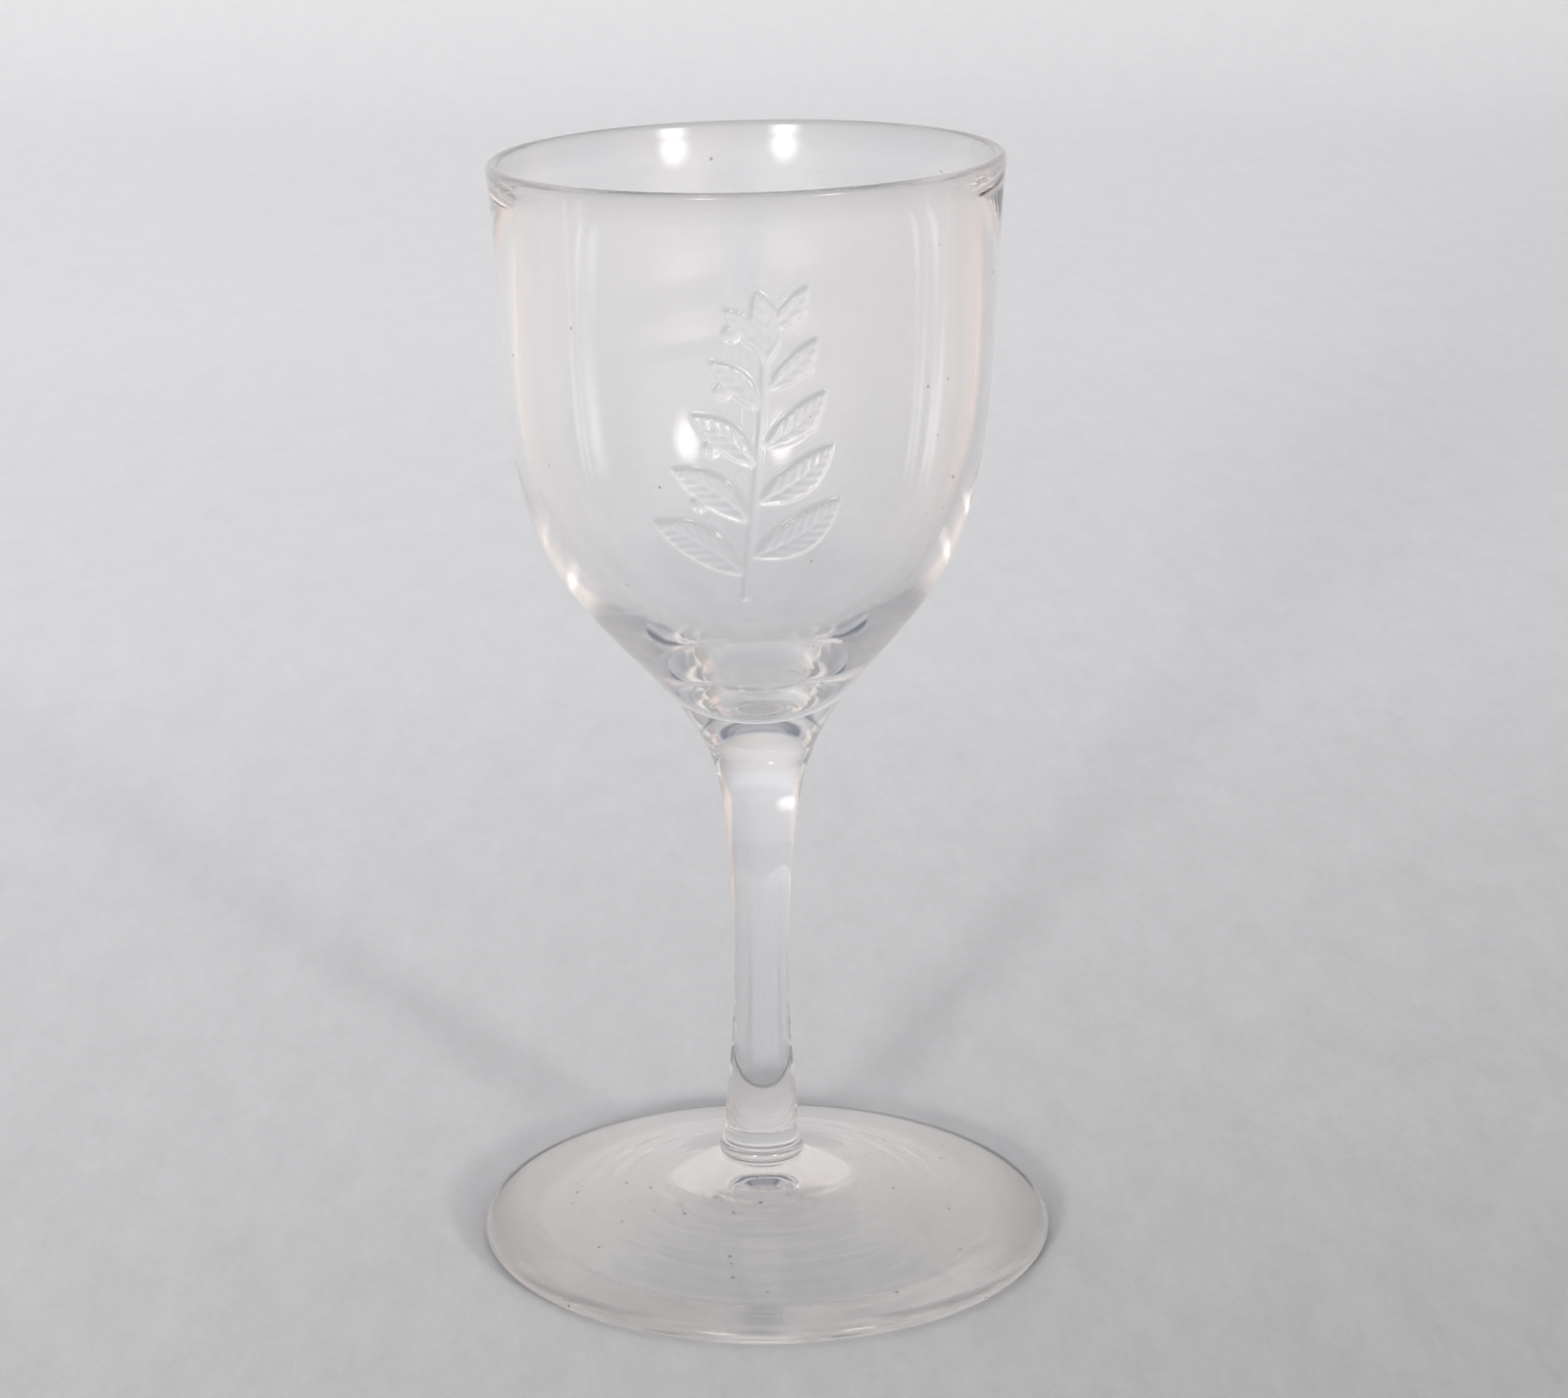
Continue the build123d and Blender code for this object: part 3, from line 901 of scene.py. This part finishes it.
def paper_lamp(name, place, width, height, power):
    """A soft lamp that looks at the glass, lights the paper and stays out of the reflections."""
    light = bpy.data.lights.new(name, "AREA")
    light.shape = "RECTANGLE"
    light.size = width
    light.size_y = height
    light.energy = power
    holder = bpy.data.objects.new(name, light)
    holder.location = place
    holder.rotation_euler = (LAMP_AIM - Vector(place)).to_track_quat("-Z", "Y").to_euler()
    holder.visible_glossy = False
    holder.visible_transmission = False
    bpy.context.scene.collection.objects.link(holder)
    print("lamp", name, "at", place)


paper_lamp("left_lamp", (-0.385, -1.13, 0.27), width=0.11, height=0.12, power=13.5)
paper_lamp("right_lamp", (0.655, -1.01, 0.27), width=0.11, height=0.12, power=12.0)
paper_lamp("fill", (-0.3, 0.7, 2.2), width=2.4, height=2.4, power=22.0)

# %% The glow of a lamp's image
DIM_INSIDE = 0.08


def glowing(name, width, height, brightness, depth, colour):
    """A glow that fades to the edges and shows only in clean mirror images: one reflection and
    pairs of passes through a wall, so an odd number of bounces up to depth."""
    finish = bpy.data.materials.new(name)
    finish.use_nodes = True
    tree = finish.node_tree
    tree.nodes.clear()
    where = node(tree, "ShaderNodeTexCoord")
    shrunk = node(tree, "ShaderNodeVectorMath", operation="DIVIDE")
    shrunk.inputs[1].default_value = (width / 2, height / 2, 1)
    away = node(tree, "ShaderNodeVectorMath", operation="LENGTH")
    fade = node(tree, "ShaderNodeMapRange", interpolation_type="SMOOTHSTEP")
    fade.inputs["From Min"].default_value = 1.0
    fade.inputs["From Max"].default_value = 0.1
    fade.inputs["To Max"].default_value = brightness
    path = node(tree, "ShaderNodeLightPath")
    inside = node(tree, "ShaderNodeMapRange")
    inside.inputs["From Min"].default_value = depth
    inside.inputs["From Max"].default_value = depth + 1
    inside.inputs["To Min"].default_value = 1.0
    inside.inputs["To Max"].default_value = DIM_INSIDE
    odd = node(tree, "ShaderNodeMath", operation="PINGPONG")
    odd.inputs[1].default_value = 1.0
    clean = node(tree, "ShaderNodeMath", operation="MULTIPLY")
    seen = node(tree, "ShaderNodeMath", operation="MULTIPLY")
    glow = node(tree, "ShaderNodeEmission", Color=(*colour, 1.0))
    clear = node(tree, "ShaderNodeBsdfTransparent")
    glow_on_clear = node(tree, "ShaderNodeAddShader")
    out = node(tree, "ShaderNodeOutputMaterial")
    tree.links.new(where.outputs["Object"], shrunk.inputs[0])
    tree.links.new(shrunk.outputs[0], away.inputs[0])
    tree.links.new(away.outputs["Value"], fade.inputs["Value"])
    tree.links.new(path.outputs["Ray Depth"], inside.inputs["Value"])
    tree.links.new(fade.outputs[0], seen.inputs[0])
    tree.links.new(path.outputs["Ray Depth"], odd.inputs[0])
    tree.links.new(inside.outputs[0], clean.inputs[0])
    tree.links.new(odd.outputs[0], clean.inputs[1])
    tree.links.new(clean.outputs[0], seen.inputs[1])
    tree.links.new(seen.outputs[0], glow.inputs["Strength"])
    tree.links.new(glow.outputs[0], glow_on_clear.inputs[0])
    tree.links.new(clear.outputs[0], glow_on_clear.inputs[1])
    tree.links.new(glow_on_clear.outputs[0], out.inputs["Surface"])
    return finish


print("glow shows", DIM_INSIDE, "of its light after many bounces")

# %% Images of the lamps, and strips beside the glass
def lamp_image(name, place, width, height, brightness, depth, colour):
    """A glowing face that looks at the glass and that only the glass sees."""
    corners = [(x * width / 2, y * height / 2, 0) for x, y in ((-1, -1), (1, -1), (1, 1), (-1, 1))]
    mesh = bpy.data.meshes.new(name)
    mesh.from_pydata(corners, [], [(0, 1, 2, 3)])
    mesh.materials.append(glowing(name, width, height, brightness, depth, colour))
    face = bpy.data.objects.new(name, mesh)
    face.location = place
    face.rotation_euler = (Vector(place) - LAMP_AIM).to_track_quat("Z", "Y").to_euler()
    face.visible_camera = False
    face.visible_diffuse = False
    face.visible_shadow = False
    bpy.context.scene.collection.objects.link(face)
    print("glowing face", name, "at", place)


LAMP_PLACES = [(-0.385, -1.115, 0.44), (0.71, -0.97, 0.44)]
LAMP_COLOUR, STRIP_COLOUR = (1.0, 0.95, 0.88), (1.0, 1.0, 1.0)
LAMP_HEIGHT, LAMP_GLOW, LAMP_REACH = 0.46, 11.0, 5
STRIP_HEIGHT, STRIP_GLOW, STRIP_REACH = 0.07, 1.5, 3
# Where each strip stands to the side and in depth, and its width.
SIDE_STRIPS = [
    (-0.148, -0.042, 0.026), (-0.154, -0.02, 0.014), (0.155, 0.014, 0.02), (0.154, -0.019, 0.014),
]
for side, place, width in zip(("left", "right"), LAMP_PLACES, (0.42, 0.46)):
    name = f"{side}_lamp_image"
    lamp_image(name, place, width, LAMP_HEIGHT, LAMP_GLOW, LAMP_REACH, LAMP_COLOUR)
for i, (x, y, width) in enumerate(SIDE_STRIPS):
    place = (x, y, STRIP_HEIGHT / 2)
    lamp_image(f"side_strip_{i}", place, width, STRIP_HEIGHT, STRIP_GLOW, STRIP_REACH, STRIP_COLOUR)

# %% Room tones
room = bpy.data.worlds.new("pale_room")
bpy.context.scene.world = room
room.use_nodes = True
tree = room.node_tree
tree.nodes.clear()
where = node(tree, "ShaderNodeTexCoord")
parts = node(tree, "ShaderNodeSeparateXYZ")
tree.links.new(where.outputs["Generated"], parts.inputs[0])
UPWARD_TONES = [
    (0.0, (1.0, 0.92, 0.87)), (0.25, (0.94, 0.89, 0.86)), (0.42, (0.8, 0.8, 0.8)),
    (0.6, (0.62, 0.63, 0.66)), (0.7, (0.42, 0.43, 0.47)), (0.77, (0.18, 0.195, 0.24)),
    (0.86, (0.18, 0.195, 0.24)), (0.94, (0.45, 0.45, 0.47)),
]
BACKWARD_TONES = [
    (0.0, (0.58, 0.59, 0.61)), (0.12, (0.6, 0.61, 0.63)), (0.33, (0.72, 0.72, 0.74)),
    (0.46, (1, 1, 1)),
]
both = node(tree, "ShaderNodeMix", data_type="RGBA", blend_type="MULTIPLY", Factor=1.0)
tree.links.new(ramp(tree, parts.outputs["Z"], 0.0, 1.0, UPWARD_TONES), both.inputs["A"])
tree.links.new(ramp(tree, parts.outputs["Y"], -1.0, 1.0, BACKWARD_TONES), both.inputs["B"])
print(len(UPWARD_TONES), "tones upwards,", len(BACKWARD_TONES), "from front to back")

# %% Dark sides of the room, and the lamps' spill
DARK_SIDE = (0.16, 0.175, 0.21, 1.0)
LAMP_SPILL = (1.0, 0.86, 0.74, 1.0)
beside = node(tree, "ShaderNodeMath", operation="ABSOLUTE")
dark_side = node(tree, "ShaderNodeMapRange", interpolation_type="SMOOTHSTEP")
dark_side.inputs["From Min"].default_value = 0.78
dark_side.inputs["From Max"].default_value = 0.95
dark_side.inputs["To Max"].default_value = 0.6
sides_down = node(tree, "ShaderNodeMix", data_type="RGBA")
sides_down.inputs["B"].default_value = DARK_SIDE
tree.links.new(parts.outputs["X"], beside.inputs[0])
tree.links.new(beside.outputs[0], dark_side.inputs["Value"])
tree.links.new(dark_side.outputs[0], sides_down.inputs["Factor"])
tree.links.new(both.outputs["Result"], sides_down.inputs["A"])
lit = sides_down.outputs["Result"]
for place in LAMP_PLACES:
    towards = node(tree, "ShaderNodeVectorMath", operation="DOT_PRODUCT")
    towards.inputs[1].default_value = Vector(place).normalized()
    halo = node(tree, "ShaderNodeMapRange", interpolation_type="SMOOTHSTEP")
    halo.inputs["From Min"].default_value = 0.75
    halo.inputs["To Max"].default_value = 0.42
    spill = node(tree, "ShaderNodeMix", data_type="RGBA", blend_type="ADD")
    spill.inputs["B"].default_value = LAMP_SPILL
    tree.links.new(where.outputs["Generated"], towards.inputs[0])
    tree.links.new(towards.outputs["Value"], halo.inputs["Value"])
    tree.links.new(halo.outputs[0], spill.inputs["Factor"])
    tree.links.new(lit, spill.inputs["A"])
    lit = spill.outputs["Result"]
room_light = node(tree, "ShaderNodeBackground", Strength=0.92)
room_out = node(tree, "ShaderNodeOutputWorld")
tree.links.new(lit, room_light.inputs["Color"])
tree.links.new(room_light.outputs[0], room_out.inputs["Surface"])
print("room", room.name)

# %% [markdown]
# ## Tracing glass
# A ray that enters the lip or the foot's edge may bounce inside it a hundred times before it comes
# out. Blender stops at four glossy bounces and leaves black patches, so the limits are raised.
# Caustics are off: the two Light Path mixes already let light through, without their noise.

# %% Bounces and tone
scene = bpy.context.scene
scene.cycles.max_bounces = 120
scene.cycles.glossy_bounces = 120
scene.cycles.transmission_bounces = 120
scene.cycles.transparent_max_bounces = 40
scene.cycles.diffuse_bounces = 3
scene.cycles.caustics_refractive = False
scene.cycles.caustics_reflective = False
scene.view_settings.view_transform = "Standard"
print("bounces", scene.cycles.max_bounces, "tone", scene.view_settings.view_transform)

# %% [markdown]
# ## Put the pieces on the frame
# Each mesh stands for one CAD piece, whose own mesh is hidden, and rides on the single body.

# %% Attach to the body
for piece, cad_piece, slot in (
    (bowl, "bowl", "bowl_glass"),
    (stem, "stem", "stem_glass"),
    (collar, "foot_collar", "collar_glass"),
    (foot, "foot", "foot_glass"),
):
    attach(piece, "root")
    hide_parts(cad_piece)
    low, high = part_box(cad_piece)
    points = np.array([v.co for v in piece.data.vertices])
    away = np.abs(np.concatenate([points.min(0) - low, points.max(0) - high])).max()
    print(f"{piece.name}: box within {away / MM:.2f} mm of {cad_piece}")
